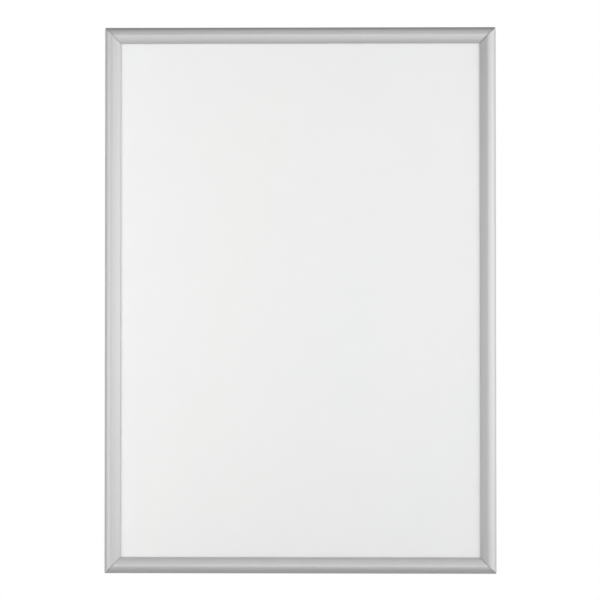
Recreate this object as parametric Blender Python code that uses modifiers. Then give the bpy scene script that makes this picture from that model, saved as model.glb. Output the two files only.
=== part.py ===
"""Snap-open poster frame for an A1 sheet, satin aluminium, hung flat on a wall.

Frame of reference: X to the right, Z up, the wall is the plane Y = 0 and the front faces -Y.
The origin is on the rear face of the top base rail, half way along it.

Each of the four sides is built in its own section axes, in millimetres:
  u  from the outer edge of the frame inwards,
  v  from the wall forwards,
  z  along the side, so that turning from u towards v is the way the snap rail opens.
"""

import math

import bmesh
import bpy
from mathutils import Matrix, Vector

MM = 0.001

# ---------------------------------------------------------------- sizes, mm
WIDTH = 624.0  # over the outer edges
HEIGHT = 871.0
RAIL = 25.0  # face width of a snap rail
DEPTH = 13.0  # wall to crest
MOUNT_U = 19.0  # from the top edge down to the origin
GAP = 0.3  # running gap between pieces that lie on each other
MITRE = 0.22  # each base rail stops this far short of the mitre, measured along itself
SNAP_MITRE = 0.33  # and each snap rail

# hinge along the outer edge
HINGE_U, HINGE_V = 2.1, 4.1
BEAD_R = 0.9
SOCKET_R, SOCKET_OUT = 1.2, 2.0
SOCKET_FROM, SOCKET_TO = 140.0, 336.0  # the C-shaped socket, degrees round the hinge
NECK_AT, NECK_THICK = 10.0, 0.9
HOOK_IN, HOOK_OUT, HOOK_TIP = 2.3, 2.95, 3.85
SHELF_TOP, SHELF_END = -30.0, -41.0
RELIEF = 1.7  # bead and hook stop short of the mitre by this much more
RELIEF_TOP = 6.0

# snap rail shell
SHELL = 1.1
EDGE_V = 6.45  # lower outer edge of the shell
EDGE_R, EDGE_SLOPE = 2.0, 40.0
CREASE_U = 12.9
CREST_SLOPE = 3.0
INNER_SLOPE_1, INNER_SLOPE_2 = 20.0, 42.0
NOSE_U = 24.6
LIP_V = 4.7
LIP_R = 0.3
RIB_RIGHT = 5.3

# base rail
WALL = 1.2
OUTER_U = 0.35
SIDE_INNER_U = 1.55
SLOT_OUTER, SLOT_INNER = 7.3, 13.9  # the channel for the corner keys
OUTER_LIP_U, INNER_UPRIGHT_U = 6.5, 14.8
LIP_REACH = 1.1
LIP_BOTTOM, LIP_TOP = 3.4, 4.1
UPRIGHT_TOP = 5.6
LEDGE_U = 23.5

# wall screw holes
HOLE_U = 10.6
HOLE_R = 2.1
HEAD_R = 3.15
HOLE_FROM_CORNER = 90.0

# corner keys and their grub screws
KEY_LEG = 45.0
KEY_V0, KEY_V1 = 1.5, 3.1
KEY_SCREW_AT = 40.0
KEY_HOLE_R = 1.8
SCREW_R = 1.5
SCREW_V0, SCREW_V1 = 1.5, 3.7
SOCKET_AF = 1.5
SOCKET_DEPTH = 1.2

# leaf springs
SPRING_THICK = 0.35
SPRING_ARC = 10.85  # length of the bowed strip
SPRING_LONG = 60.0
SPRING_F_R, SPRING_F_AT = 3.49, -23.5  # the end on the snap rail's hook
SPRING_B = (13.4, 4.5)  # the end in the base rail's corner
SPRING_SPOTS = {"top": (-115.0, 115.0), "bottom": (-115.0, 115.0),
                "left": (-235.0, 0.0, 235.0), "right": (-235.0, 0.0, 235.0)}

# sheets
SHEET_U = 15.1
PANEL_V0, PANEL_V1 = 1.5, 3.5
COVER_V0, COVER_V1 = 3.9, 4.4

TOP_Z = MOUNT_U
MID_Z = MOUNT_U - HEIGHT / 2

# ---------------------------------------------------------------- colours
SATIN = ((0.6, 0.6, 0.6), 0.5, 1.0)
MILL = ((0.66, 0.67, 0.68), 0.45, 1.0)
STEEL = ((0.50, 0.50, 0.52), 0.32, 1.0)
ZINC = ((0.58, 0.59, 0.60), 0.42, 1.0)
BLACK_OXIDE = ((0.10, 0.10, 0.11), 0.45, 1.0)
WHITE = ((0.9, 0.9, 0.9), 0.55, 0.0)
CLEAR = ((0.95, 0.96, 0.96), 0.35, 0.0)

# ---------------------------------------------------------------- scene
for old in list(bpy.data.objects):
    bpy.data.objects.remove(old, do_unlink=True)

frame_parts = bpy.data.collections.new("poster_frame")
cutters = bpy.data.collections.new("cutters")
bpy.context.scene.collection.children.link(frame_parts)
bpy.context.scene.collection.children.link(cutters)

root = bpy.data.objects.new("poster_frame_origin", None)
root.empty_display_size = 0.05
frame_parts.objects.link(root)


def section_axes(u_direction, origin):
    """Matrix of one side's section axes: columns u, v and z, at its outer rear edge, half way along."""
    u, v = Vector(u_direction), Vector((0, -1, 0))
    z = u.cross(v)
    matrix = Matrix((u, v, z)).transposed().to_4x4()
    matrix.translation = Vector(origin) * MM
    return matrix


SIDES = {
    "top": (WIDTH, section_axes((0, 0, -1), (0, 0, TOP_Z))),
    "bottom": (WIDTH, section_axes((0, 0, 1), (0, 0, TOP_Z - HEIGHT))),
    "left": (HEIGHT, section_axes((1, 0, 0), (-WIDTH / 2, 0, MID_Z))),
    "right": (HEIGHT, section_axes((-1, 0, 0), (WIDTH / 2, 0, MID_Z))),
}


# ---------------------------------------------------------------- helpers
def at(matrix, u, v, z=0.0):
    """The section axes shifted to the point u, v, z."""
    return matrix @ Matrix.Translation(Vector((u, v, z)) * MM)


def arc(centre, radius, start, end, count):
    """Points on a circle from start to end degrees, both included."""
    steps = [start + (end - start) * i / count for i in range(count + 1)]
    return [(centre[0] + radius * math.cos(math.radians(a)),
             centre[1] + radius * math.sin(math.radians(a))) for a in steps]


def polar(radius, angle):
    """A point round the hinge."""
    return (HINGE_U + radius * math.cos(math.radians(angle)),
            HINGE_V + radius * math.sin(math.radians(angle)))


def eased(points, radii, count=3):
    """The outline with some corners rounded: radii maps a point's index to its radius."""
    out = []
    for i, p in enumerate(points):
        r = radii.get(i, 0)
        if not r:
            out.append(p)
            continue
        p = Vector(p)
        a = (Vector(points[i - 1]) - p).normalized()
        b = (Vector(points[(i + 1) % len(points)]) - p).normalized()
        half = a.angle(b) / 2
        reach = r / math.tan(half)
        centre = p + (a + b).normalized() * (r / math.sin(half))
        first, last = p + a * reach - centre, p + b * reach - centre
        begin = math.degrees(math.atan2(first.y, first.x))
        turn = math.degrees(math.atan2(first.x * last.y - first.y * last.x, first.dot(last)))
        out += arc(centre, r, begin, begin + turn, count)
    return out


def drawn(name, outline, start, end):
    """A closed outline in u and v drawn out along z as a closed mesh; its ends lie at start(u) and end(u)."""
    curve = bpy.data.curves.new(name + "_outline", "CURVE")
    curve.dimensions = "2D"
    curve.fill_mode = "BOTH"
    curve.extrude = 0.5
    spline = curve.splines.new("POLY")
    spline.points.add(len(outline) - 1)
    for point, (u, v) in zip(spline.points, outline):
        point.co = (u, v, 0, 1)
    spline.use_cyclic_u = True
    flat = bpy.data.objects.new(name + "_outline", curve)
    cutters.objects.link(flat)
    graph = bpy.context.evaluated_depsgraph_get()
    mesh = bpy.data.meshes.new_from_object(flat.evaluated_get(graph))
    mesh.name = name
    bpy.data.objects.remove(flat)
    bpy.data.curves.remove(curve)
    shape = bmesh.new()
    shape.from_mesh(mesh)
    bmesh.ops.remove_doubles(shape, verts=shape.verts, dist=0.0005)
    for vert in shape.verts:
        vert.co.z = end(vert.co.x) if vert.co.z > 0 else start(vert.co.x)
    bmesh.ops.scale(shape, vec=(MM, MM, MM), verts=shape.verts)
    bmesh.ops.recalc_face_normals(shape, faces=shape.faces)
    shape.to_mesh(mesh)
    shape.free()
    return mesh


def finish(obj, look):
    """Gives the object its own material."""
    colour, roughness, metallic = look
    material = bpy.data.materials.new(obj.name)
    material.use_nodes = True
    shader = material.node_tree.nodes["Principled BSDF"]
    shader.inputs["Base Color"].default_value = (*colour, 1)
    shader.inputs["Roughness"].default_value = roughness
    shader.inputs["Metallic"].default_value = metallic
    material.diffuse_color = (*colour, 1)
    obj.data.materials.clear()
    obj.data.materials.append(material)


def part(name, mesh, matrix, look=None, smooth=30.0):
    """A named piece of the frame."""
    obj = bpy.data.objects.new(name, mesh)
    frame_parts.objects.link(obj)
    obj.parent = root
    obj.matrix_world = matrix
    mesh.shade_smooth()
    mesh.set_sharp_from_angle(angle=math.radians(smooth))
    if look:
        finish(obj, look)
    return obj


def cut(obj, name, mesh, matrix):
    """Takes the mesh out of the object."""
    tool = bpy.data.objects.new(name, mesh)
    cutters.objects.link(tool)
    tool.matrix_world = matrix
    tool.hide_render = True
    tool.display_type = "WIRE"
    modifier = obj.modifiers.new(name, "BOOLEAN")
    modifier.operation = "DIFFERENCE"
    modifier.solver = "EXACT"
    modifier.object = tool


def round_bar(name, radius, v0, v1, sides=20):
    """A closed cylinder along v."""
    mesh = bpy.data.meshes.new(name)
    shape = bmesh.new()
    bmesh.ops.create_cone(shape, cap_ends=True, segments=sides, radius1=radius * MM,
                          radius2=radius * MM, depth=(v1 - v0) * MM)
    bmesh.ops.rotate(shape, cent=(0, 0, 0), verts=shape.verts,
                     matrix=Matrix.Rotation(math.radians(-90), 3, "X"))
    bmesh.ops.translate(shape, vec=(0, (v0 + v1) / 2 * MM, 0), verts=shape.verts)
    shape.to_mesh(mesh)
    shape.free()
    return mesh


# ---------------------------------------------------------------- section of the base rail
def base_outline():
    """Rear wall with the hinge socket, the key channel, and the ledge under the sheets."""
    hinge = (HINGE_U, HINGE_V)
    foot = 270 - math.degrees(math.asin((HINGE_U - SIDE_INNER_U) / SOCKET_OUT))
    side = 180 + math.degrees(math.acos((HINGE_U - OUTER_U) / SOCKET_OUT))
    straight = [
        arc(hinge, SOCKET_OUT, SOCKET_FROM, side, 7)[-1],
        (OUTER_U, 0), (LEDGE_U, 0), (LEDGE_U, WALL), (INNER_UPRIGHT_U, WALL),
        (INNER_UPRIGHT_U, UPRIGHT_TOP), (SLOT_INNER, UPRIGHT_TOP),
        (SLOT_INNER, LIP_TOP), (SLOT_INNER - LIP_REACH, LIP_TOP),
        (SLOT_INNER - LIP_REACH, LIP_BOTTOM), (SLOT_INNER, LIP_BOTTOM),
        (SLOT_INNER, WALL), (SLOT_OUTER, WALL), (SLOT_OUTER, LIP_BOTTOM),
        (SLOT_OUTER + LIP_REACH, LIP_BOTTOM), (SLOT_OUTER + LIP_REACH, LIP_TOP),
        (OUTER_LIP_U, LIP_TOP), (OUTER_LIP_U, WALL), (SIDE_INNER_U, WALL),
    ]
    straight = eased(straight, {1: 0.3, 2: 0.3, 3: 0.3, 5: 0.25, 6: 0.25, 16: 0.2}, 2)
    return (straight
            + arc(hinge, SOCKET_OUT, foot, SOCKET_TO, 9)
            + arc(hinge, SOCKET_R, SOCKET_TO, SOCKET_FROM, 16)
            + arc(hinge, SOCKET_OUT, SOCKET_FROM, side, 7)[:-1])


# ---------------------------------------------------------------- section of the snap rail
def shell_arcs():
    """The shell's outer face as arcs: centre, radius, and the tilts of its normal at both ends.

    The tilt is 90 at the outer side, 0 facing forwards and -90 at the inner nose."""
    bow = (CREASE_U - EDGE_R * (1 - math.sin(math.radians(EDGE_SLOPE)))) / (
        math.sin(math.radians(EDGE_SLOPE)) - math.sin(math.radians(CREST_SLOPE)))
    crease = Vector((CREASE_U, DEPTH))
    bow_centre = crease + bow * tilt_vector(CREST_SLOPE, -1)
    join = bow_centre + bow * tilt_vector(EDGE_SLOPE)
    edge_centre = join + EDGE_R * tilt_vector(EDGE_SLOPE, -1)
    fall = (NOSE_U - CREASE_U) / (
        math.sin(math.radians(INNER_SLOPE_2)) - math.sin(math.radians(INNER_SLOPE_1)))
    fall_centre = crease + fall * tilt_vector(-INNER_SLOPE_1, -1)
    knee = fall_centre + fall * tilt_vector(-INNER_SLOPE_2)
    nose = (RAIL - NOSE_U) / (1 - math.sin(math.radians(INNER_SLOPE_2)))
    nose_centre = knee + nose * tilt_vector(-INNER_SLOPE_2, -1)
    return [
        (edge_centre, EDGE_R, 90, EDGE_SLOPE, 7),
        (bow_centre, bow, EDGE_SLOPE, CREST_SLOPE, 14),
        (fall_centre, fall, -INNER_SLOPE_1, -INNER_SLOPE_2, 7),
        (nose_centre, nose, -INNER_SLOPE_2, -90, 6),
    ]


def tilt_vector(tilt, sign=1):
    """Unit normal of the face where it is tilted outwards by this many degrees."""
    a = math.radians(tilt)
    return sign * Vector((-math.sin(a), math.cos(a)))


def shell_face(inset=0.0):
    """Points of the shell's face from the outer side to the nose, or of its underside."""
    out = []
    for centre, radius, start, end, count in shell_arcs():
        for i in range(count + 1):
            tilt = start + (end - start) * i / count
            p = centre + (radius - inset) * tilt_vector(tilt)
            if inset and abs(p.x - CREASE_U) < 0.5:
                continue
            if not out or (p - out[-1]).length > 0.01:
                out.append(p)
    if inset:
        middle = (CREST_SLOPE - INNER_SLOPE_1) / 2
        half = math.radians((CREST_SLOPE + INNER_SLOPE_1) / 2)
        inner = Vector((CREASE_U, DEPTH)) - inset / math.cos(half) * tilt_vector(middle)
        out.append(inner)
        out.sort(key=lambda p: p.x)
    return [(p.x, p.y) for p in out]


def height_at(points, u):
    """v on a polyline at u."""
    for (u0, v0), (u1, v1) in zip(points, points[1:]):
        if u0 <= u <= u1 and u1 > u0:
            return v0 + (v1 - v0) * (u - u0) / (u1 - u0)
    return points[-1][1]


def snap_outline():
    """Shell, rib, hinge bead and spring hook, as one closed outline."""
    hinge = (HINGE_U, HINGE_V)
    outer = shell_face()
    under = shell_face(SHELL)
    half = NECK_THICK / 2
    on_bead = math.degrees(math.asin(half / BEAD_R))
    on_hook = math.degrees(math.asin(half / HOOK_IN))
    neck_top = polar(HOOK_IN, NECK_AT + on_hook)
    rib_left = neck_top[0]
    lip_inner = RAIL - SHELL
    under = [p for p in under if EDGE_V + 0.3 < p[1] and p[1] > LIP_V + 0.6]
    outline = [(0.0, EDGE_V), (SHELL, EDGE_V)]
    outline += [p for p in under if p[0] < rib_left - 0.3]
    outline += [(rib_left, height_at(under, rib_left)), neck_top]
    outline += arc(hinge, BEAD_R, NECK_AT + on_bead, NECK_AT - on_bead + 360, 20)
    outline += arc(hinge, HOOK_IN, NECK_AT - on_hook, SHELF_END, 8)
    outline += arc(hinge, HOOK_TIP, SHELF_END, SHELF_TOP, 2)
    outline += arc(hinge, HOOK_OUT, SHELF_TOP, 0, 6)
    outline += [(RIB_RIGHT, HINGE_V + 0.6), (RIB_RIGHT, height_at(under, RIB_RIGHT))]
    outline += [p for p in under if p[0] > RIB_RIGHT + 0.3]
    lip = [outline[-1], (lip_inner, LIP_V), (RAIL, LIP_V), (RAIL, LIP_V + 1)]
    outline += eased(lip, {1: 0.2, 2: LIP_R})[1:-1]
    outline += [p for p in reversed(outer)]
    return outline


# ---------------------------------------------------------------- rails
def mitred(length, short):
    """Where both ends of a rail lie, as functions of u."""
    return lambda u: u + short - length / 2, lambda u: length / 2 - u - short


for side, (length, axes) in SIDES.items():
    start, end = mitred(length, MITRE)
    base = part(f"base_rail_{side}", drawn(f"base_rail_{side}", base_outline(), start, end),
                axes, MILL)
    for number, spot in enumerate((HOLE_FROM_CORNER - length / 2, length / 2 - HOLE_FROM_CORNER), 1):
        here = at(axes, HOLE_U, 0, spot)
        cut(base, f"hole_{side}_{number}", round_bar("hole", HOLE_R, -2, 2.4), here)
        cut(base, f"head_{side}_{number}", round_bar("head", HEAD_R, 2.0, 8), here)

    start, end = mitred(length, SNAP_MITRE)
    snap = drawn(f"snap_rail_{side}", snap_outline(), start, end)
    snap.transform(Matrix.Translation(Vector((-HINGE_U, -HINGE_V, 0)) * MM))
    snap = part(f"snap_rail_{side}", snap, at(axes, HINGE_U, HINGE_V), SATIN)
    block = [(-1.0, -1.0), (6.4, -1.0), (6.4, RELIEF_TOP), (-1.0, RELIEF_TOP)]
    first = drawn("relief", block, lambda u: -length / 2 - 6, lambda u: start(u) + RELIEF)
    last = drawn("relief", block, lambda u: end(u) - RELIEF, lambda u: length / 2 + 6)
    cut(snap, f"relief_{side}_1", first, axes)
    cut(snap, f"relief_{side}_2", last, axes)


# ---------------------------------------------------------------- leaf springs
def spring_outline():
    """A thin strip bowed forwards between the snap rail's hook and the base rail's corner."""
    near, far = Vector(polar(SPRING_F_R, SPRING_F_AT)), Vector(SPRING_B)
    chord = (far - near).length
    low, high = 0.01, math.pi
    for _ in range(60):
        half = (low + high) / 2
        if half / math.sin(half) < SPRING_ARC / chord:
            low = half
        else:
            high = half
    radius = chord / 2 / math.sin(half)
    along = (far - near).normalized()
    up = Vector((-along.y, along.x))
    centre = (near + far) / 2 - up * radius * math.cos(half)
    lean = math.degrees(math.atan2(up.y, up.x))
    spread = math.degrees(half)
    outside = arc(centre, radius + SPRING_THICK / 2, lean - spread, lean + spread, 14)
    inside = arc(centre, radius - SPRING_THICK / 2, lean + spread, lean - spread, 14)
    return outside + inside


for side, spots in SPRING_SPOTS.items():
    axes = SIDES[side][1]
    for number, spot in enumerate(spots, 1):
        name = f"leaf_spring_{side}_{number}"
        mesh = drawn(name, spring_outline(), lambda u: -SPRING_LONG / 2, lambda u: SPRING_LONG / 2)
        part(name, mesh, at(axes, 0, 0, spot), STEEL)


# ---------------------------------------------------------------- corner keys
def key_outline():
    """An L in the plane of the frame, a and b being the distances from the two outer edges."""
    low, high = SLOT_OUTER + GAP, SLOT_INNER - GAP
    tip = low + KEY_LEG
    return eased([(low, low), (tip, low), (tip, high), (high, high), (high, tip), (low, tip)],
                 {0: 1.0, 1: 1.2, 2: 1.2, 3: 0.3, 4: 1.2, 5: 1.2}, 2)


def grub_screw():
    """A headless screw with a hexagon socket, along v."""
    blank = bpy.data.objects.new("grub_blank", round_bar("grub_blank", SCREW_R, SCREW_V0, SCREW_V1, 18))
    frame_parts.objects.link(blank)
    ease = blank.modifiers.new("ease", "BEVEL")
    ease.width = 0.2 * MM
    ease.segments = 1
    ease.limit_method = "ANGLE"
    ease.angle_limit = math.radians(60)
    socket = round_bar("grub_socket", SOCKET_AF / math.sqrt(3), SCREW_V1 - SOCKET_DEPTH, SCREW_V1 + 1, 6)
    cut(blank, "grub_socket", socket, Matrix.Identity(4))
    graph = bpy.context.evaluated_depsgraph_get()
    mesh = bpy.data.meshes.new_from_object(blank.evaluated_get(graph))
    mesh.name = "grub_screw"
    bpy.data.objects.remove(bpy.data.objects["grub_socket"])
    bpy.data.objects.remove(blank)
    return mesh


CORNERS = {
    "top_left": ((1, 0, 0), (0, 0, -1), (-WIDTH / 2, 0, TOP_Z)),
    "top_right": ((-1, 0, 0), (0, 0, -1), (WIDTH / 2, 0, TOP_Z)),
    "bottom_left": ((1, 0, 0), (0, 0, 1), (-WIDTH / 2, 0, TOP_Z - HEIGHT)),
    "bottom_right": ((-1, 0, 0), (0, 0, 1), (WIDTH / 2, 0, TOP_Z - HEIGHT)),
}
screw_shape = grub_screw()
for corner, (a, b, origin) in CORNERS.items():
    a, b, origin = Vector(a), Vector(b), Vector(origin) * MM
    matrix = Matrix((a, b, a.cross(b))).transposed().to_4x4()
    matrix.translation = origin + Vector((0, -(KEY_V0 + KEY_V1) / 2 * MM, 0))
    half = (KEY_V1 - KEY_V0) / 2
    key = part(f"corner_key_{corner}",
               drawn(f"corner_key_{corner}", key_outline(), lambda u: -half, lambda u: half),
               matrix, ZINC)
    middle = (SLOT_OUTER + SLOT_INNER) / 2
    for number, (p, q) in enumerate(((KEY_SCREW_AT, middle), (middle, KEY_SCREW_AT)), 1):
        upright = Matrix(((1, 0, 0), (0, -1, 0), (0, 0, -1))).to_4x4()
        upright.translation = origin + (a * p + b * q) * MM
        cut(key, f"key_hole_{corner}_{number}", round_bar("key_hole", KEY_HOLE_R, 0.5, 4.5), upright)
        part(f"grub_screw_{corner}_{number}", screw_shape.copy(), upright, BLACK_OXIDE)


# ---------------------------------------------------------------- back panel and cover sheet
def sheet(name, v0, v1, look):
    """A flat sheet that fills the frame inside the inner uprights."""
    bpy.ops.mesh.primitive_cube_add(size=1, location=(0, -(v0 + v1) / 2 * MM, MID_Z * MM))
    obj = bpy.context.active_object
    obj.name = obj.data.name = name
    obj.scale = ((WIDTH - 2 * SHEET_U) * MM, (v1 - v0) * MM, (HEIGHT - 2 * SHEET_U) * MM)
    bpy.ops.object.transform_apply(location=False, rotation=False, scale=True)
    for home in list(obj.users_collection):
        home.objects.unlink(obj)
    frame_parts.objects.link(obj)
    obj.parent = root
    finish(obj, look)


sheet("back_panel", PANEL_V0, PANEL_V1, WHITE)
sheet("cover_sheet", COVER_V0, COVER_V1, CLEAR)
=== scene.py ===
"""Looks of the snap-open poster frame: satin aluminium rails, clear cover sheet, white back panel.

The rails are drawn in the section axes of their side, in millimetres, as the solids are:
  u  from the outer edge of the frame inwards,
  v  from the wall forwards,
  z  along the side, so that turning from u towards v is the way the snap rail opens.
"""
import math

import bmesh
import bpy
from mathutils import Matrix, Vector, noise


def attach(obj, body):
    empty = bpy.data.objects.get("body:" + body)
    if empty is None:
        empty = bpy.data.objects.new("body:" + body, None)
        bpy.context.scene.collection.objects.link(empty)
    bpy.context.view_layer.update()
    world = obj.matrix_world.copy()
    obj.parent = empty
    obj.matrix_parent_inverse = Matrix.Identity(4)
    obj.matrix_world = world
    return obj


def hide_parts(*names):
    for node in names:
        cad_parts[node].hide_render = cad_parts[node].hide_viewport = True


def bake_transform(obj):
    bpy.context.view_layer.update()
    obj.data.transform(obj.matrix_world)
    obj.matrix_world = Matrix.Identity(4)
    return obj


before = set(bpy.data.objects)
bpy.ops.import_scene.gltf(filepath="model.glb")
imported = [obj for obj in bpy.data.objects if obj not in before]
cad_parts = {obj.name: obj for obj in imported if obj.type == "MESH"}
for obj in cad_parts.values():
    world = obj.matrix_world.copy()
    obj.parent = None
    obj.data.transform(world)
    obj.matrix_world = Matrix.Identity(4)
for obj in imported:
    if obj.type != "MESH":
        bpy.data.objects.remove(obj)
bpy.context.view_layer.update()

MM = 0.001

# ---------------------------------------------------------------- sizes, mm, as in the solids
WIDTH, HEIGHT, RAIL, DEPTH = 624.0, 871.0, 25.0, 13.0
MOUNT_U, MITRE, SNAP_MITRE, GAP = 19.0, 0.22, 0.33, 0.3
OPEN_MITRE = 0.48  # the top right corner closes a little less well than the others
HINGE_U, HINGE_V = 2.1, 4.1
BEAD_R = 0.9
SOCKET_R, SOCKET_OUT = 1.2, 2.0
SOCKET_FROM, SOCKET_TO = 140.0, 336.0
NECK_AT, NECK_THICK = 10.0, 0.9
HOOK_IN, HOOK_OUT, HOOK_TIP = 2.3, 2.95, 3.85
SHELF_TOP, SHELF_END = -30.0, -41.0
RELIEF, RELIEF_TOP = 1.7, 6.0
SHELL = 1.1
EDGE_V = 6.45
EDGE_R, EDGE_SLOPE = 2.0, 40.0
CREASE_U, CREASE_R = 12.9, 1.6
CREST_SLOPE = 3.0
INNER_SLOPE_1, INNER_SLOPE_2 = 20.0, 42.0
NOSE_U = 24.6
LIP_V, LIP_R = 4.7, 0.3
RIB_RIGHT = 5.3
WALL = 1.2
OUTER_U, SIDE_INNER_U = 0.35, 1.55
SLOT_OUTER, SLOT_INNER = 7.3, 13.9
OUTER_LIP_U, INNER_UPRIGHT_U = 6.5, 14.8
LIP_REACH = 1.1
LIP_BOTTOM, LIP_TOP = 3.4, 4.1
UPRIGHT_TOP = 5.6
LEDGE_U = 23.5
HOLE_U, HOLE_R, HEAD_R, HOLE_FROM_CORNER = 10.6, 2.1, 3.15, 90.0
KEY_LEG, KEY_V0, KEY_V1 = 45.0, 1.5, 3.1
KEY_SCREW_AT, KEY_HOLE_R = 40.0, 1.8
SCREW_R, SCREW_V0, SCREW_V1 = 1.5, 1.5, 3.7
SOCKET_AF, SOCKET_DEPTH = 1.5, 1.2
SPRING_THICK, SPRING_ARC, SPRING_LONG = 0.35, 10.85, 60.0
SPRING_F_R, SPRING_F_AT = 3.49, -23.5
SPRING_B = (13.4, 4.5)
SPRING_SPOTS = {"top": (-115.0, 115.0), "bottom": (-115.0, 115.0),
                "left": (-235.0, 0.0, 235.0), "right": (-235.0, 0.0, 235.0)}
SHEET_U = 15.1
PANEL_V0, PANEL_V1 = 1.5, 3.5
COVER_V0, COVER_V1 = 3.9, 4.4
TOP_Z = MOUNT_U
MID_Z = MOUNT_U - HEIGHT / 2

FINE = 3  # how many times finer the curves are than those of the solids
SAWN = 0.1  # chamfer that deburring leaves round a sawn end


def section_axes(u_direction, origin):
    """Matrix of one side's section axes, with its origin on the outer rear edge, half way along."""
    u, v = Vector(u_direction), Vector((0, -1, 0))
    matrix = Matrix((u, v, u.cross(v))).transposed().to_4x4()
    matrix.translation = Vector(origin) * MM
    return matrix


SIDES = {
    "top": (WIDTH, section_axes((0, 0, -1), (0, 0, TOP_Z))),
    "bottom": (WIDTH, section_axes((0, 0, 1), (0, 0, TOP_Z - HEIGHT))),
    "left": (HEIGHT, section_axes((1, 0, 0), (-WIDTH / 2, 0, MID_Z))),
    "right": (HEIGHT, section_axes((-1, 0, 0), (WIDTH / 2, 0, MID_Z))),
}


# ---------------------------------------------------------------- outline helpers
def arc(centre, radius, start, end, count):
    """Points on a circle from start to end degrees, both included."""
    steps = [start + (end - start) * i / count for i in range(count + 1)]
    return [(centre[0] + radius * math.cos(math.radians(a)),
             centre[1] + radius * math.sin(math.radians(a))) for a in steps]


def polar(radius, angle):
    """A point round the hinge."""
    return (HINGE_U + radius * math.cos(math.radians(angle)),
            HINGE_V + radius * math.sin(math.radians(angle)))


def eased(points, radii, count=5):
    """The outline with some corners rounded: radii maps a point's index to its radius."""
    out = []
    for i, p in enumerate(points):
        r = radii.get(i, 0)
        if not r:
            out.append(p)
            continue
        p = Vector(p)
        a = (Vector(points[i - 1]) - p).normalized()
        b = (Vector(points[(i + 1) % len(points)]) - p).normalized()
        half = a.angle(b) / 2
        reach = r / math.tan(half)
        centre = p + (a + b).normalized() * (r / math.sin(half))
        first, last = p + a * reach - centre, p + b * reach - centre
        begin = math.degrees(math.atan2(first.y, first.x))
        turn = math.degrees(math.atan2(first.x * last.y - first.y * last.x, first.dot(last)))
        out += arc(centre, r, begin, begin + turn, count)
    return out


def tilt_vector(tilt, sign=1):
    """Unit normal of the face where it is tilted outwards by this many degrees."""
    a = math.radians(tilt)
    return sign * Vector((-math.sin(a), math.cos(a)))


def shell_arcs():
    """The shell's outer face as arcs: centre, radius, the tilts of its normal at both ends, steps."""
    bow = (CREASE_U - EDGE_R * (1 - math.sin(math.radians(EDGE_SLOPE)))) / (
        math.sin(math.radians(EDGE_SLOPE)) - math.sin(math.radians(CREST_SLOPE)))
    crease = Vector((CREASE_U, DEPTH))
    bow_centre = crease + bow * tilt_vector(CREST_SLOPE, -1)
    join = bow_centre + bow * tilt_vector(EDGE_SLOPE)
    edge_centre = join + EDGE_R * tilt_vector(EDGE_SLOPE, -1)
    fall = (NOSE_U - CREASE_U) / (
        math.sin(math.radians(INNER_SLOPE_2)) - math.sin(math.radians(INNER_SLOPE_1)))
    fall_centre = crease + fall * tilt_vector(-INNER_SLOPE_1, -1)
    knee = fall_centre + fall * tilt_vector(-INNER_SLOPE_2)
    nose = (RAIL - NOSE_U) / (1 - math.sin(math.radians(INNER_SLOPE_2)))
    nose_centre = knee + nose * tilt_vector(-INNER_SLOPE_2, -1)
    return [
        (edge_centre, EDGE_R, 90, EDGE_SLOPE, 7 * FINE),
        (bow_centre, bow, EDGE_SLOPE, CREST_SLOPE, 14 * FINE),
        (fall_centre, fall, -INNER_SLOPE_1, -INNER_SLOPE_2, 7 * FINE),
        (nose_centre, nose, -INNER_SLOPE_2, -90, 12 * FINE),
    ]


def shell_face(inset=0.0):
    """Points of the shell's face from the outer side to the nose, or of its underside."""
    out = []
    for centre, radius, start, end, count in shell_arcs():
        for i in range(count + 1):
            tilt = start + (end - start) * i / count
            p = centre + (radius - inset) * tilt_vector(tilt)
            if inset and abs(p.x - CREASE_U) < 0.5:
                continue
            if not out or (p - out[-1]).length > 0.01:
                out.append(p)
    if inset:
        middle = (CREST_SLOPE - INNER_SLOPE_1) / 2
        half = math.radians((CREST_SLOPE + INNER_SLOPE_1) / 2)
        out.append(Vector((CREASE_U, DEPTH)) - inset / math.cos(half) * tilt_vector(middle))
        out.sort(key=lambda p: p.x)
        return [(p.x, p.y) for p in out]
    out = [(p.x, p.y) for p in out]
    at = min(range(len(out)), key=lambda i: abs(out[i][0] - CREASE_U))
    return eased(out, {at: CREASE_R})


def height_at(points, u):
    """v on a polyline at u."""
    for (u0, v0), (u1, v1) in zip(points, points[1:]):
        if u0 <= u <= u1 and u1 > u0:
            return v0 + (v1 - v0) * (u - u0) / (u1 - u0)
    return points[-1][1]


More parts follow.
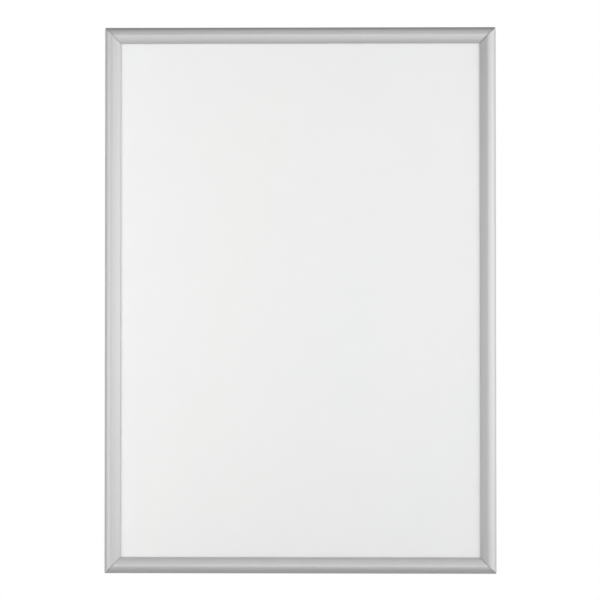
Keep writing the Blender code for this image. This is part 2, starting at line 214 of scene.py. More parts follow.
def snap_outline():
    """Shell, rib, hinge bead and spring hook, as one closed outline."""
    hinge = (HINGE_U, HINGE_V)
    outer = shell_face()
    under = shell_face(SHELL)
    half = NECK_THICK / 2
    on_bead = math.degrees(math.asin(half / BEAD_R))
    on_hook = math.degrees(math.asin(half / HOOK_IN))
    neck_top = polar(HOOK_IN, NECK_AT + on_hook)
    rib_left = neck_top[0]
    lip_inner = RAIL - SHELL
    under = [p for p in under if EDGE_V + 0.3 < p[1] and p[1] > LIP_V + 0.6]
    outline = eased([under[0], (SHELL, EDGE_V), (0.0, EDGE_V), (0.0, EDGE_V + 2)],
                    {1: 0.15, 2: 0.2})[1:-1][::-1]
    outline += [p for p in under if p[0] < rib_left - 0.3]
    outline += [(rib_left, height_at(under, rib_left)), neck_top]
    outline += arc(hinge, BEAD_R, NECK_AT + on_bead, NECK_AT - on_bead + 360, 20 * FINE)
    outline += arc(hinge, HOOK_IN, NECK_AT - on_hook, SHELF_END, 8 * FINE)
    outline += arc(hinge, HOOK_TIP, SHELF_END, SHELF_TOP, 2 * FINE)
    outline += arc(hinge, HOOK_OUT, SHELF_TOP, 0, 6 * FINE)
    outline += [(RIB_RIGHT, HINGE_V + 0.6), (RIB_RIGHT, height_at(under, RIB_RIGHT))]
    outline += [p for p in under if p[0] > RIB_RIGHT + 0.3]
    lip = [outline[-1], (lip_inner, LIP_V), (RAIL, LIP_V), (RAIL, LIP_V + 1)]
    outline += eased(lip, {1: 0.2, 2: LIP_R})[1:-1]
    outline += [p for p in reversed(outer)]
    return outline


def base_outline():
    """Rear wall with the hinge socket, the key channel, and the ledge under the sheets."""
    hinge = (HINGE_U, HINGE_V)
    foot = 270 - math.degrees(math.asin((HINGE_U - SIDE_INNER_U) / SOCKET_OUT))
    side = 180 + math.degrees(math.acos((HINGE_U - OUTER_U) / SOCKET_OUT))
    straight = [
        arc(hinge, SOCKET_OUT, SOCKET_FROM, side, 7)[-1],
        (OUTER_U, 0), (LEDGE_U, 0), (LEDGE_U, WALL), (INNER_UPRIGHT_U, WALL),
        (INNER_UPRIGHT_U, UPRIGHT_TOP), (SLOT_INNER, UPRIGHT_TOP),
        (SLOT_INNER, LIP_TOP), (SLOT_INNER - LIP_REACH, LIP_TOP),
        (SLOT_INNER - LIP_REACH, LIP_BOTTOM), (SLOT_INNER, LIP_BOTTOM),
        (SLOT_INNER, WALL), (SLOT_OUTER, WALL), (SLOT_OUTER, LIP_BOTTOM),
        (SLOT_OUTER + LIP_REACH, LIP_BOTTOM), (SLOT_OUTER + LIP_REACH, LIP_TOP),
        (OUTER_LIP_U, LIP_TOP), (OUTER_LIP_U, WALL), (SIDE_INNER_U, WALL),
    ]
    straight = eased(straight, {1: 0.3, 2: 0.3, 3: 0.3, 5: 0.25, 6: 0.25, 8: 0.12, 9: 0.12,
                                14: 0.12, 15: 0.12, 16: 0.2, 17: 0.15}, 4)
    return (straight
            + arc(hinge, SOCKET_OUT, foot, SOCKET_TO, 9 * FINE)
            + arc(hinge, SOCKET_R, SOCKET_TO, SOCKET_FROM, 16 * FINE)
            + arc(hinge, SOCKET_OUT, SOCKET_FROM, side, 7 * FINE)[:-1])


def drawn_in(outline, inset):
    """The outline moved inwards by a small distance."""
    area = sum(a[0] * b[1] - b[0] * a[1] for a, b in zip(outline, outline[1:] + outline[:1]))
    sign = 1 if area > 0 else -1
    out = []
    for i, p in enumerate(outline):
        a = Vector(p) - Vector(outline[i - 1])
        b = Vector(outline[(i + 1) % len(outline)]) - Vector(p)
        n = Vector((-a.y, a.x)).normalized() + Vector((-b.y, b.x)).normalized()
        n.normalize()
        lean = max(0.5, n.dot(Vector((-a.y, a.x)).normalized()))
        out.append(tuple(Vector(p) + sign * n * inset / lean))
    return out


# ---------------------------------------------------------------- mesh helpers
def prism(name, outline, start, end, edge=0.0, rows=1):
    """A closed outline in u and v drawn out along z, its ends lying at start(u) and end(u).

    edge is the chamfer round both ends, whose faces get the second material; rows is the steps
    along the length."""
    shape = bmesh.new()
    rings = []
    if edge:
        small = drawn_in(outline, edge)
        rings.append([(u, v, start(u)) for u, v in small])
    for i in range(rows + 1):
        t = i / rows
        rings.append([(u, v, (start(u) + edge) * (1 - t) + (end(u) - edge) * t) for u, v in outline])
    if edge:
        rings.append([(u, v, end(u)) for u, v in small])
    made = [[shape.verts.new(Vector(p) * MM) for p in ring] for ring in rings]
    count = len(outline)
    for k, (low, high) in enumerate(zip(made, made[1:])):
        for i in range(count):
            j = (i + 1) % count
            face = shape.faces.new((low[i], low[j], high[j], high[i]))
            face.smooth = True
            if edge and k in (0, len(made) - 2):
                face.material_index = 1
                face.smooth = False
    for ring in (made[0], made[-1]):
        cap = shape.faces.new(ring)
        cap.material_index = 1 if edge else 0
    bmesh.ops.recalc_face_normals(shape, faces=shape.faces)
    caps = [f for f in shape.faces if len(f.verts) > 4]
    bmesh.ops.triangulate(shape, faces=caps, ngon_method="EAR_CLIP")
    mesh = bpy.data.meshes.new(name)
    shape.to_mesh(mesh)
    shape.free()
    return mesh


def placed(name, mesh, matrix, materials, smooth=24.0):
    """A new object with its materials, smooth apart from its sharp edges."""
    obj = bpy.data.objects.new(name, mesh)
    bpy.context.scene.collection.objects.link(obj)
    obj.matrix_world = matrix
    for material in materials:
        mesh.materials.append(material)
    mesh.set_sharp_from_angle(angle=math.radians(smooth))
    return obj


def cut(obj, tools):
    """Takes closed meshes, given in the object's own axes, out of the object for good."""
    cutters = []
    for mesh in tools:
        tool = bpy.data.objects.new("tool", mesh)
        bpy.context.scene.collection.objects.link(tool)
        tool.matrix_world = obj.matrix_world
        modifier = obj.modifiers.new("cut", "BOOLEAN")
        modifier.operation = "DIFFERENCE"
        modifier.solver = "EXACT"
        modifier.object = tool
        cutters.append(tool)
    graph = bpy.context.evaluated_depsgraph_get()
    mesh = bpy.data.meshes.new_from_object(obj.evaluated_get(graph))
    obj.modifiers.clear()
    old, obj.data = obj.data, mesh
    mesh.name = old.name
    bpy.data.meshes.remove(old)
    for tool in cutters:
        shape = tool.data
        bpy.data.objects.remove(tool)
        bpy.data.meshes.remove(shape)


def bar(radius, v0, v1, sides=48, at=(0.0, 0.0)):
    """A closed cylinder along v, at u and z."""
    mesh = bpy.data.meshes.new("bar")
    shape = bmesh.new()
    bmesh.ops.create_cone(shape, cap_ends=True, segments=sides, radius1=radius * MM,
                          radius2=radius * MM, depth=(v1 - v0) * MM)
    bmesh.ops.rotate(shape, cent=(0, 0, 0), verts=shape.verts,
                     matrix=Matrix.Rotation(math.radians(-90), 3, "X"))
    bmesh.ops.translate(shape, vec=Vector((at[0], (v0 + v1) / 2, at[1])) * MM, verts=shape.verts)
    for face in shape.faces:
        face.smooth = len(face.verts) == 4
    shape.to_mesh(mesh)
    shape.free()
    return mesh


# ---------------------------------------------------------------- materials
class Nodes:
    """A material's node tree with short ways to add to it."""

    def __init__(self, name):
        self.material = bpy.data.materials.new(name)
        self.material.use_nodes = True
        self.tree = self.material.node_tree
        self.shader = self.tree.nodes["Principled BSDF"]
        self.object = self.tree.nodes.new("ShaderNodeTexCoord").outputs["Object"]

    def link(self, source, target):
        self.tree.links.new(source, target)

    def scaled(self, x, y, z, source=None):
        """Coordinates multiplied on each axis."""
        node = self.tree.nodes.new("ShaderNodeVectorMath")
        node.operation = "MULTIPLY"
        node.inputs[1].default_value = (x, y, z)
        self.link(source or self.object, node.inputs[0])
        return node.outputs[0]

    def noise(self, vector, scale=1.0, detail=3.0, roughness=0.5):
        node = self.tree.nodes.new("ShaderNodeTexNoise")
        node.inputs["Scale"].default_value = scale
        node.inputs["Detail"].default_value = detail
        node.inputs["Roughness"].default_value = roughness
        self.link(vector, node.inputs["Vector"])
        return node.outputs["Fac"]

    def spread(self, source, low, high, start=0.3, end=0.7):
        """Maps start..end of the source to low..high."""
        node = self.tree.nodes.new("ShaderNodeMapRange")
        for key, value in (("From Min", start), ("From Max", end), ("To Min", low), ("To Max", high)):
            node.inputs[key].default_value = value
        self.link(source, node.inputs["Value"])
        return node.outputs[0]

    def maths(self, operation, a, b=None):
        node = self.tree.nodes.new("ShaderNodeMath")
        node.operation = operation
        for socket, value in zip(node.inputs, (a, b)):
            if value is None:
                continue
            if isinstance(value, (int, float)):
                socket.default_value = value
            else:
                self.link(value, socket)
        return node.outputs[0]

    def blend(self, factor, a, b):
        """Colour a to colour b."""
        node = self.tree.nodes.new("ShaderNodeMix")
        node.data_type = "RGBA"
        self.link(factor, node.inputs[0])
        for socket, value in ((node.inputs[6], a), (node.inputs[7], b)):
            if isinstance(value, tuple):
                socket.default_value = (*value, 1)
            else:
                self.link(value, socket)
        return node.outputs[2]

    def bump(self, height, distance, strength=1.0, normal=None):
        node = self.tree.nodes.new("ShaderNodeBump")
        node.inputs["Distance"].default_value = distance
        node.inputs["Strength"].default_value = strength
        self.link(height, node.inputs["Height"])
        if normal is not None:
            self.link(normal, node.inputs["Normal"])
        return node.outputs[0]

    def set(self, **values):
        for key, value in values.items():
            self.shader.inputs[key.replace("_", " ")].default_value = value


def satin_aluminium():
    """Etched and anodised extrusion: soft sheen, faint lines from the die along its length."""
    n = Nodes("anodised_satin_aluminium")
    n.set(Metallic=1.0)
    lines = n.noise(n.scaled(2600, 2600, 2.5), detail=4, roughness=0.65)
    bands = n.noise(n.scaled(420, 420, 0.8), detail=2)
    cloud = n.noise(n.object, 14, 3)
    grain = n.noise(n.object, 9000, 2, 0.6)
    tone = n.maths("ADD", n.maths("MULTIPLY", lines, 0.5), n.maths("MULTIPLY", bands, 0.5))
    colour = n.blend(n.spread(tone, 0, 1), (0.583, 0.583, 0.584), (0.612, 0.612, 0.613))
    colour = n.blend(n.spread(cloud, 0, 0.35), colour, (0.598, 0.597, 0.595))
    n.link(colour, n.shader.inputs["Base Color"])
    rough = n.maths("ADD", n.spread(lines, 0.47, 0.53), n.spread(grain, -0.02, 0.02))
    n.link(rough, n.shader.inputs["Roughness"])
    n.link(n.bump(lines, 0.00001, 0.35, n.bump(grain, 0.000006, 0.25)), n.shader.inputs["Normal"])
    return n.material


def sawn_aluminium():
    """Bare metal of a sawn mitre, with the marks of the blade across it."""
    n = Nodes("bare_sawn_aluminium")
    n.set(Metallic=1.0)
    marks = n.noise(n.scaled(900, 7000, 900), detail=3, roughness=0.6)
    n.link(n.blend(n.spread(marks, 0, 1), (0.70, 0.70, 0.70), (0.80, 0.80, 0.80)), n.shader.inputs["Base Color"])
    n.link(n.spread(marks, 0.26, 0.40), n.shader.inputs["Roughness"])
    n.link(n.bump(marks, 0.00002, 0.5), n.shader.inputs["Normal"])
    return n.material


def mill_aluminium():
    """Extrusion as it leaves the press: plainer, a little darker, with stronger die lines."""
    n = Nodes("extruded_mill_aluminium")
    n.set(Metallic=1.0)
    lines = n.noise(n.scaled(1700, 1700, 1.6), detail=5, roughness=0.7)
    smudge = n.noise(n.scaled(26, 26, 9), detail=4)
    colour = n.blend(n.spread(lines, 0, 1), (0.60, 0.61, 0.62), (0.71, 0.72, 0.73))
    colour = n.blend(n.spread(smudge, 0, 0.4), colour, (0.64, 0.64, 0.635))
    n.link(colour, n.shader.inputs["Base Color"])
    n.link(n.maths("ADD", n.spread(lines, 0.36, 0.47), n.spread(smudge, -0.03, 0.04)), n.shader.inputs["Roughness"])
    n.link(n.bump(lines, 0.000018, 0.5), n.shader.inputs["Normal"])
    return n.material


def spring_steel():
    """Cold-rolled strip: bright, slightly blue, lines along the rolling direction."""
    n = Nodes("rolled_spring_steel")
    n.set(Metallic=1.0)
    lines = n.noise(n.scaled(3200, 3200, 14), detail=4, roughness=0.6)
    heat = n.noise(n.scaled(60, 60, 40), detail=2)
    colour = n.blend(n.spread(lines, 0, 1), (0.42, 0.425, 0.44), (0.55, 0.55, 0.56))
    colour = n.blend(n.spread(heat, 0, 0.5), colour, (0.50, 0.47, 0.43))
    n.link(colour, n.shader.inputs["Base Color"])
    n.link(n.spread(lines, 0.24, 0.36), n.shader.inputs["Roughness"])
    n.link(n.bump(lines, 0.00001, 0.4), n.shader.inputs["Normal"])
    return n.material


def zinc_plate():
    """Dull zinc plate on a pressed key."""
    n = Nodes("dull_zinc_plate")
    n.set(Metallic=1.0)
    flecks = n.tree.nodes.new("ShaderNodeTexVoronoi")
    flecks.inputs["Scale"].default_value = 900
    n.link(n.object, flecks.inputs["Vector"])
    mottle = n.noise(n.object, 260, 4)
    colour = n.blend(n.spread(mottle, 0, 1), (0.53, 0.545, 0.56), (0.64, 0.645, 0.64))
    colour = n.blend(n.spread(flecks.outputs["Distance"], 0, 0.3, 0.0, 0.8), colour, (0.70, 0.70, 0.68))
    n.link(colour, n.shader.inputs["Base Color"])
    n.link(n.spread(mottle, 0.34, 0.50), n.shader.inputs["Roughness"])
    n.link(n.bump(mottle, 0.00003, 0.4), n.shader.inputs["Normal"])
    return n.material


def black_oxide():
    """Oiled black steel, rubbed a little on the edges of the threads."""
    n = Nodes("oiled_black_oxide")
    n.set(Metallic=1.0)
    rub = n.noise(n.object, 1500, 4)
    n.link(n.blend(n.spread(rub, 0, 1), (0.07, 0.07, 0.078), (0.15, 0.148, 0.15)), n.shader.inputs["Base Color"])
    n.link(n.spread(rub, 0.36, 0.52), n.shader.inputs["Roughness"])
    n.link(n.bump(rub, 0.00002, 0.4), n.shader.inputs["Normal"])
    return n.material


def white_styrene():
    """Matt white extruded sheet: very faint waves and clouds, no gloss."""
    n = Nodes("matt_white_styrene")
    cloud = n.noise(n.scaled(1, 1, 0.7), 3.2, 2)
    grain = n.noise(n.object, 2600, 2)
    colour = n.blend(n.spread(cloud, 0, 1), (0.888, 0.899, 0.899), (0.905, 0.904, 0.896))
    n.link(colour, n.shader.inputs["Base Color"])
    n.link(n.spread(grain, 0.5, 0.6), n.shader.inputs["Roughness"])
    n.link(n.bump(grain, 0.00002, 0.3), n.shader.inputs["Normal"])
    return n.material


def clear_sheet():
    """Thin clear sheet with a matt face that scatters a little light and dulls reflections."""
    n = Nodes("matt_clear_sheet")
    n.set(Alpha=0.16, IOR=1.5, Base_Color=(0.96, 0.965, 0.965, 1))
    matt = n.noise(n.object, 4200, 3, 0.6)
    wave = n.noise(n.scaled(1, 1, 0.6), 5.5, 1)
    n.link(n.maths("ADD", n.spread(matt, 0.24, 0.32), n.spread(wave, -0.015, 0.015)), n.shader.inputs["Roughness"])
    n.link(n.bump(matt, 0.00001, 0.3, n.bump(wave, 0.0002, 0.3)), n.shader.inputs["Normal"])
    n.material.surface_render_method = "BLENDED"
    return n.material


SATIN, SAWN_METAL, MILL = satin_aluminium(), sawn_aluminium(), mill_aluminium()
SPRING, ZINC, BLACK = spring_steel(), zinc_plate(), black_oxide()
WHITE, CLEAR = white_styrene(), clear_sheet()


def stands_for(obj, node, body):
    """The finished piece takes the place of its plain solid."""
    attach(obj, body)
    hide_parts(node)


# ---------------------------------------------------------------- camera
camera = bpy.data.objects.new("camera", bpy.data.cameras.new("camera"))
bpy.context.scene.collection.objects.link(camera)
camera.location = (0.0170, -2.0, -0.4371)
camera.rotation_euler = (math.radians(90.588), math.radians(0.006), math.radians(0.496))
camera.data.sensor_width = 36
camera.data.lens = 74.97
bpy.context.scene.camera = camera


# ---------------------------------------------------------------- rails
def mitred(length, short, short_end=None):
    """Where both ends of a rail lie, as functions of u."""
    far = short if short_end is None else short_end
    return lambda u: u + short - length / 2, lambda u: length / 2 - u - far


for side, (length, axes) in SIDES.items():
    start, end = mitred(length, MITRE)
    base = placed(f"extruded_base_rail_{side}", prism(f"extruded_base_rail_{side}", base_outline(), start, end, SAWN),
                  axes, (MILL, SAWN_METAL))
    holes = []
    for spot in (HOLE_FROM_CORNER - length / 2, length / 2 - HOLE_FROM_CORNER):
        holes += [bar(HOLE_R, -2, 2.4, at=(HOLE_U, spot)), bar(HEAD_R, 2.0, 8, at=(HOLE_U, spot))]
    cut(base, holes)
    base.data.set_sharp_from_angle(angle=math.radians(24))
    stands_for(base, f"base_rail_{side}", "base")

    start, end = mitred(length, OPEN_MITRE if side == "top" else SNAP_MITRE,
                        OPEN_MITRE if side == "right" else SNAP_MITRE)
    snap = placed(f"satin_snap_rail_{side}", prism(f"satin_snap_rail_{side}", snap_outline(), start, end, SAWN),
                  axes, (SATIN, SAWN_METAL))
    block = [(-1.0, -1.0), (6.4, -1.0), (6.4, RELIEF_TOP), (-1.0, RELIEF_TOP)]
    cut(snap, [
        prism("tool", block, lambda u: -length / 2 - 6, lambda u: start(u) + RELIEF),
        prism("tool", block, lambda u: end(u) - RELIEF, lambda u: length / 2 + 6),
    ])
    snap.data.set_sharp_from_angle(angle=math.radians(24))
    stands_for(snap, f"snap_rail_{side}", f"{side}_rail")


# ---------------------------------------------------------------- leaf springs
def spring_line(steps):
    """The bowed centreline of a strip, from the snap rail's hook to the base rail's corner."""
    near, far = Vector(polar(SPRING_F_R, SPRING_F_AT)), Vector(SPRING_B)
    chord = (far - near).length
    low, high = 0.01, math.pi
    for _ in range(60):
        half = (low + high) / 2
        if half / math.sin(half) < SPRING_ARC / chord:
            low = half
        else:
            high = half
    radius = chord / 2 / math.sin(half)
    along = (far - near).normalized()
    up = Vector((-along.y, along.x))
    centre = (near + far) / 2 - up * radius * math.cos(half)
    out = []
    for i in range(steps + 1):
        a = half - 2 * half * i / steps
        normal = -along * math.sin(a) + up * math.cos(a)
        out.append((centre + radius * normal, normal))
    return out


def spring_mesh(name):
    """A strip with rounded corners and soft edges."""
    line = spring_line(36)
    corner = 1.6
    shape = bmesh.new()
    skins = []
    for side in (1, -1):
        rows = []
        for i, (p, normal) in enumerate(line):
            s = SPRING_ARC * i / (len(line) - 1)
            off = min(s, SPRING_ARC - s)
            short = corner - math.sqrt(max(0.0, corner ** 2 - (corner - min(off, corner)) ** 2))
            reach = SPRING_LONG / 2 - short
            row = []
            for t in (-1, -0.985, -0.8, -0.4, 0, 0.4, 0.8, 0.985, 1):
                soft = 0.06 if abs(t) == 1 or i in (0, len(line) - 1) else 0.0
                q = p + side * normal * (SPRING_THICK / 2 - soft)
                row.append(shape.verts.new(Vector((q.x, q.y, reach * t)) * MM))
            rows.append(row)
        skins.append(rows)
    count = 9
    for rows in skins:
        for low, high in zip(rows, rows[1:]):
            for i in range(count - 1):
                shape.faces.new((low[i], low[i + 1], high[i + 1], high[i])).smooth = True
    upper, lower = skins
    rim_a = [r[0] for r in upper] + upper[-1][1:] + [r[-1] for r in reversed(upper[:-1])] + upper[0][-2:0:-1]
    rim_b = [r[0] for r in lower] + lower[-1][1:] + [r[-1] for r in reversed(lower[:-1])] + lower[0][-2:0:-1]
    for i in range(len(rim_a)):
        j = (i + 1) % len(rim_a)
        shape.faces.new((rim_a[i], rim_a[j], rim_b[j], rim_b[i])).smooth = True
    bmesh.ops.recalc_face_normals(shape, faces=shape.faces)
    mesh = bpy.data.meshes.new(name)
    shape.to_mesh(mesh)
    shape.free()
    return mesh


for side, spots in SPRING_SPOTS.items():
    axes = SIDES[side][1]
    for number, spot in enumerate(spots, 1):
        name = f"bowed_leaf_spring_{side}_{number}"
        here = axes @ Matrix.Translation(Vector((0, 0, spot)) * MM)
        strip = placed(name, spring_mesh(name), here, (SPRING,), 40)
        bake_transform(strip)
        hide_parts(f"leaf_spring_{side}_{number}")


# ---------------------------------------------------------------- corner keys and grub screws
def key_outline():
    """An L in the plane of the frame, a and b being the distances from the two outer edges."""
    low, high = SLOT_OUTER + GAP, SLOT_INNER - GAP
    tip = low + KEY_LEG
    return eased([(low, low), (tip, low), (tip, high), (high, high), (high, tip), (low, tip)],
                 {0: 1.0, 1: 1.2, 2: 1.2, 3: 0.3, 4: 1.2, 5: 1.2}, 8)


def grub_screw():
    """A headless screw with a V thread, chamfered ends and a hexagon socket, along v."""
    pitch, depth, around, high = 0.5, 0.16, 40, 44
    length = SCREW_V1 - SCREW_V0
    shape = bmesh.new()
    rows = []
    for i in range(high + 1):
        t = i / high
        row = []
        for k in range(around):
            a = 2 * math.pi * k / around
            turn = (t * length / pitch - k / around) % 1.0
            r = SCREW_R - depth * (1 - abs(2 * turn - 1))
            end = min(t, 1 - t) * length
            r = min(r, SCREW_R - 0.22 + end)
            row.append(shape.verts.new(Vector((r * math.cos(a), SCREW_V0 + t * length, r * math.sin(a))) * MM))
        rows.append(row)
    for low, high_row in zip(rows, rows[1:]):
        for k in range(around):
            j = (k + 1) % around
            shape.faces.new((low[k], low[j], high_row[j], high_row[k])).smooth = True
    shape.faces.new(rows[0])
    shape.faces.new(rows[-1])
    bmesh.ops.recalc_face_normals(shape, faces=shape.faces)
    mesh = bpy.data.meshes.new("threaded_grub_screw")
    shape.to_mesh(mesh)
    shape.free()
    blank = placed("threaded_grub_blank", mesh, Matrix.Identity(4), (BLACK,), 40)
    cut(blank, [bar(SOCKET_AF / math.sqrt(3), SCREW_V1 - SOCKET_DEPTH, SCREW_V1 + 1, 6),
                bar(SOCKET_AF / math.sqrt(3) * 1.05, SCREW_V1 - 0.08, SCREW_V1 + 1, 24)])
    mesh = blank.data
    shape = bmesh.new()
    shape.from_mesh(mesh)
    bmesh.ops.remove_doubles(shape, verts=shape.verts, dist=1e-6)
    shape.to_mesh(mesh)
    shape.free()
    for face in mesh.polygons:
        face.use_smooth = len(face.vertices) == 4
    mesh.set_sharp_from_angle(angle=math.radians(40))
    bpy.data.objects.remove(blank)
    return mesh


CORNERS = {
    "top_left": ((1, 0, 0), (0, 0, -1), (-WIDTH / 2, 0, TOP_Z)),
    "top_right": ((-1, 0, 0), (0, 0, -1), (WIDTH / 2, 0, TOP_Z)),
    "bottom_left": ((1, 0, 0), (0, 0, 1), (-WIDTH / 2, 0, TOP_Z - HEIGHT)),
    "bottom_right": ((-1, 0, 0), (0, 0, 1), (WIDTH / 2, 0, TOP_Z - HEIGHT)),
}
screw_shape = grub_screw()
for corner, (a, b, origin) in CORNERS.items():
    a, b, origin = Vector(a), Vector(b), Vector(origin) * MM
    matrix = Matrix((a, b, a.cross(b))).transposed().to_4x4()
    matrix.translation = origin + Vector((0, -(KEY_V0 + KEY_V1) / 2 * MM, 0))
    half = (KEY_V1 - KEY_V0) / 2
    name = f"pressed_corner_key_{corner}"
    key = placed(name, prism(name, key_outline(), lambda u: -half, lambda u: half, 0.15), matrix, (ZINC, ZINC), 30)
    middle = (SLOT_OUTER + SLOT_INNER) / 2
    holes = []
    for p, q in ((KEY_SCREW_AT, middle), (middle, KEY_SCREW_AT)):
        hole = bar(KEY_HOLE_R, -2, 2)
        hole.transform(Matrix.Translation(Vector((p, q, 0)) * MM) @ Matrix.Rotation(math.radians(90), 4, "X"))
        holes.append(hole)
    cut(key, holes)
    key.data.set_sharp_from_angle(angle=math.radians(30))
    stands_for(key, f"corner_key_{corner}", "base")
    for number, (p, q) in enumerate(((KEY_SCREW_AT, middle), (middle, KEY_SCREW_AT)), 1):
        upright = Matrix(((1, 0, 0), (0, -1, 0), (0, 0, -1))).to_4x4()
        upright.translation = origin + (a * p + b * q) * MM
        screw = bpy.data.objects.new(f"threaded_grub_screw_{corner}_{number}", screw_shape.copy())
        bpy.context.scene.collection.objects.link(screw)
        screw.matrix_world = upright
        stands_for(screw, f"grub_screw_{corner}_{number}", "base")


# ---------------------------------------------------------------- back panel and cover sheet
def sheet(name, v0, v1, wave, material, seed):
    """A cut sheet with eased corners and edges that lies almost flat: wave is its unevenness in mm."""
    across, along, round_off = WIDTH / 2 - SHEET_U, HEIGHT / 2 - SHEET_U, 2.0
    ease = min(0.15, (v1 - v0) / 4)
    columns, rows = 36, 50
    shape = bmesh.new()
    grids = []
    for face, v in (("front", v1), ("rear", v0)):
        grid = []
        for j in range(rows + 1):
            line = []
            for i in range(columns + 1):
                x = -across + 2 * across * i / columns
                z = -along + 2 * along * j / rows
                edge_x, edge_z = i in (0, columns), j in (0, rows)
                if edge_x:
                    x -= math.copysign(ease, x)
                if edge_z:
                    z -= math.copysign(ease, z)
                if edge_x and edge_z:
                    x -= math.copysign(round_off * 0.3, x)
                    z -= math.copysign(round_off * 0.3, z)
                rise = wave * noise.noise(Vector((x / 190 + seed, z / 230, seed)))
                rise *= min(1.0, (across - abs(x)) / 40) * min(1.0, (along - abs(z)) / 40)
                line.append(shape.verts.new(Vector((x, -(v + rise), MID_Z + z)) * MM))
            grid.append(line)
        grids.append(grid)
    for grid in grids:
        for low, high in zip(grid, grid[1:]):
            for i in range(columns):
                shape.faces.new((low[i], low[i + 1], high[i + 1], high[i])).smooth = True
    rims = [g[0][:-1] + [r[-1] for r in g[:-1]] + g[-1][:0:-1] + [r[0] for r in g[:0:-1]] for g in grids]
    middles = []
    for part in (1, 3):
        ring = []
        for p, q in zip(*rims):
            out = Vector((p.co.x, 0, p.co.z - MID_Z * MM))
            step = Vector((0, 0, 0))
            if abs(abs(out.x) - (across - ease) * MM) < 1e-6 or abs(out.x) > (across - 1) * MM:
                step.x = math.copysign(ease * MM, out.x)
            if abs(abs(out.z) - (along - ease) * MM) < 1e-6 or abs(out.z) > (along - 1) * MM:
                step.z = math.copysign(ease * MM, out.z)
            y = p.co.y + (q.co.y - p.co.y) * part / 4
            ring.append(shape.verts.new(Vector((p.co.x + step.x, y, p.co.z + step.z))))
        middles.append(ring)
    for upper, lower in zip((rims[0], middles[0], middles[1]), (middles[0], middles[1], rims[1])):
        for i in range(len(upper)):
            j = (i + 1) % len(upper)
            shape.faces.new((upper[i], upper[j], lower[j], lower[i]))
    bmesh.ops.recalc_face_normals(shape, faces=shape.faces)
    mesh = bpy.data.meshes.new(name)
    shape.to_mesh(mesh)
    shape.free()
    return placed(name, mesh, Matrix.Identity(4), (material,), 24)


panel = sheet("matt_back_panel", PANEL_V0, PANEL_V1, 0.05, WHITE, 3.1)
stands_for(panel, "back_panel", "base")
cover = sheet("clear_cover_sheet", COVER_V0, COVER_V1, 0.07, CLEAR, 7.7)
stands_for(cover, "cover_sheet", "base")


# ---------------------------------------------------------------- floor, light and surroundings
bpy.ops.mesh.primitive_plane_add(size=4.6, location=(0, 0, -1.45))
floor = bpy.context.active_object
floor.name = "floor"
pale = Nodes("pale_floor")
tone = pale.noise(pale.object, 6, 4)
pale.link(pale.blend(pale.spread(tone, 0, 1), (0.69, 0.69, 0.685), (0.71, 0.71, 0.705)), pale.shader.inputs["Base Color"])
pale.set(Roughness=0.8)
floor.data.materials.append(pale.material)


def area_light(name, location, target, width, height, power):
    """A soft box facing the target; it isn't seen directly."""
    light = bpy.data.lights.new(name, "AREA")
    light.shape = "RECTANGLE"
    light.size, light.size_y = width, height
    light.energy = power
    obj = bpy.data.objects.new(name, light)
    bpy.context.scene.collection.objects.link(obj)
    obj.location = location
    obj.rotation_euler = (Vector(target) - Vector(location)).to_track_quat("-Z", "Y").to_euler()
    obj.visible_camera = False
    return obj


SOFT_BOXES = {
    # name: centre, point it faces, width, height, how bright its face is
    "front_soft_box": ((0, -2.1, -0.25), (0, 0, -0.25), 1.0, 1.6, 1.99),
    "left_soft_box": ((-1.45, -2.1, -0.425), (-1.45, 0, -0.425), 1.9, 1.65, 0.63),
    "right_soft_box": ((1.45, -2.1, -0.425), (1.45, 0, -0.425), 1.9, 1.65, 0.67),
    "upper_left_soft_box": ((-1.45, -2.1, 1.2), (-1.45, 0, 1.2), 1.9, 1.6, 0.43),
    "upper_right_soft_box": ((1.45, -2.1, 1.2), (1.45, 0, 1.2), 1.9, 1.6, 0.54),
    "top_soft_box": ((0, -1.6, 1.6), (0, -1.0, -0.42), 1.6, 0.8, 1.2),
    "near_left_soft_box": ((-1.075, -0.6, -0.42), (-1.075, 0, -0.42), 0.45, 1.76, 2.34),
    "near_right_soft_box": ((1.05, -0.6, -0.42), (1.05, 0, -0.42), 0.5, 1.76, 1.18),
    "floor_reflector": ((0, -1.6, -1.44), (0, -1.6, 0), 2.4, 1.0, 1.0),
    "back_soft_box": ((0, 1.9, -0.3), (0, 0, -0.42), 0.9, 1.2, 4.0),
    "rear_left_soft_box": ((-1.5, 0.75, -0.42), (-0.3, 0, -0.42), 0.6, 1.7, 1.5),
    "rear_right_soft_box": ((1.5, 0.75, -0.42), (0.3, 0, -0.42), 0.6, 1.7, 0.6),
    "rear_floor_soft_box": ((0, 1.3, -0.15), (0, 1.3, -1.45), 2.6, 1.6, 0.4),
}
for name, (location, target, across, tall, bright) in SOFT_BOXES.items():
    area_light(name, location, target, across, tall, bright * math.pi * across * tall)

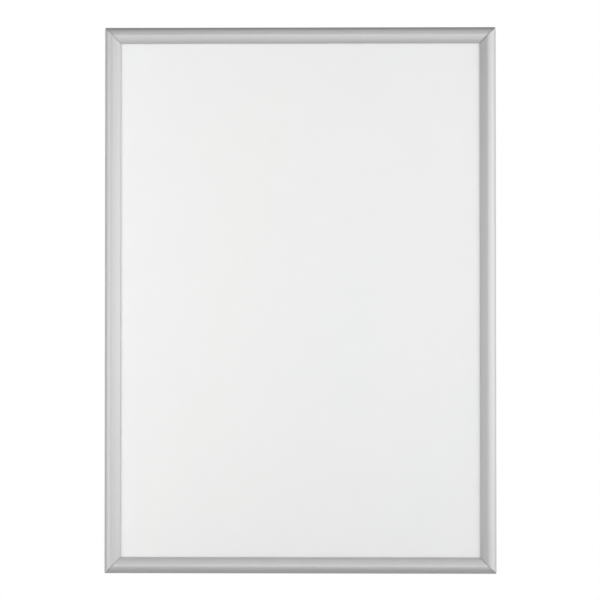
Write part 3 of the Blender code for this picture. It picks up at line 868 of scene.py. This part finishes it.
# the room's light: azimuth (0 in front, positive to the right) and elevation in degrees, sharpness, strength
ROOM = [(-95, 0, 10.0, 0.60), (70, 0, 10.0, 1.71), (0, 70, 10.0, 0.33)]


def room_light(lobes, even=0.13):
    """World of soft patches of light round the object; the camera sees plain white behind it."""
    world = bpy.data.worlds.new("studio")
    bpy.context.scene.world = world
    world.use_nodes = True
    tree = world.node_tree
    direction = tree.nodes.new("ShaderNodeTexCoord").outputs["Generated"]
    total = None
    for azimuth, elevation, sharpness, strength in lobes:
        a, e = math.radians(azimuth), math.radians(elevation)
        dot = tree.nodes.new("ShaderNodeVectorMath")
        dot.operation = "DOT_PRODUCT"
        tree.links.new(direction, dot.inputs[0])
        dot.inputs[1].default_value = (math.sin(a) * math.cos(e), -math.cos(a) * math.cos(e), math.sin(e))
        fall = tree.nodes.new("ShaderNodeMath")
        fall.operation = "MULTIPLY_ADD"
        tree.links.new(dot.outputs["Value"], fall.inputs[0])
        fall.inputs[1].default_value = sharpness
        fall.inputs[2].default_value = -sharpness
        lobe = tree.nodes.new("ShaderNodeMath")
        lobe.operation = "EXPONENT"
        tree.links.new(fall.outputs[0], lobe.inputs[0])
        add = tree.nodes.new("ShaderNodeMath")
        add.operation = "MULTIPLY_ADD"
        tree.links.new(lobe.outputs[0], add.inputs[0])
        add.inputs[1].default_value = strength
        add.inputs[2].default_value = even
        if total is not None:
            tree.links.new(total, add.inputs[2])
        total = add.outputs[0]
    seen = tree.nodes.new("ShaderNodeLightPath").outputs["Is Camera Ray"]
    mix = tree.nodes.new("ShaderNodeMix")
    mix.data_type = "RGBA"
    tree.links.new(seen, mix.inputs[0])
    if total is None:
        mix.inputs[6].default_value = (even, even, even, 1)
    else:
        tree.links.new(total, mix.inputs[6])
    mix.inputs[7].default_value = (1.0, 1.0, 1.0, 1)
    tree.links.new(mix.outputs[2], tree.nodes["Background"].inputs["Color"])


room_light(ROOM)

bpy.context.scene.view_settings.view_transform = "Standard"
bpy.context.scene.view_settings.look = "None"
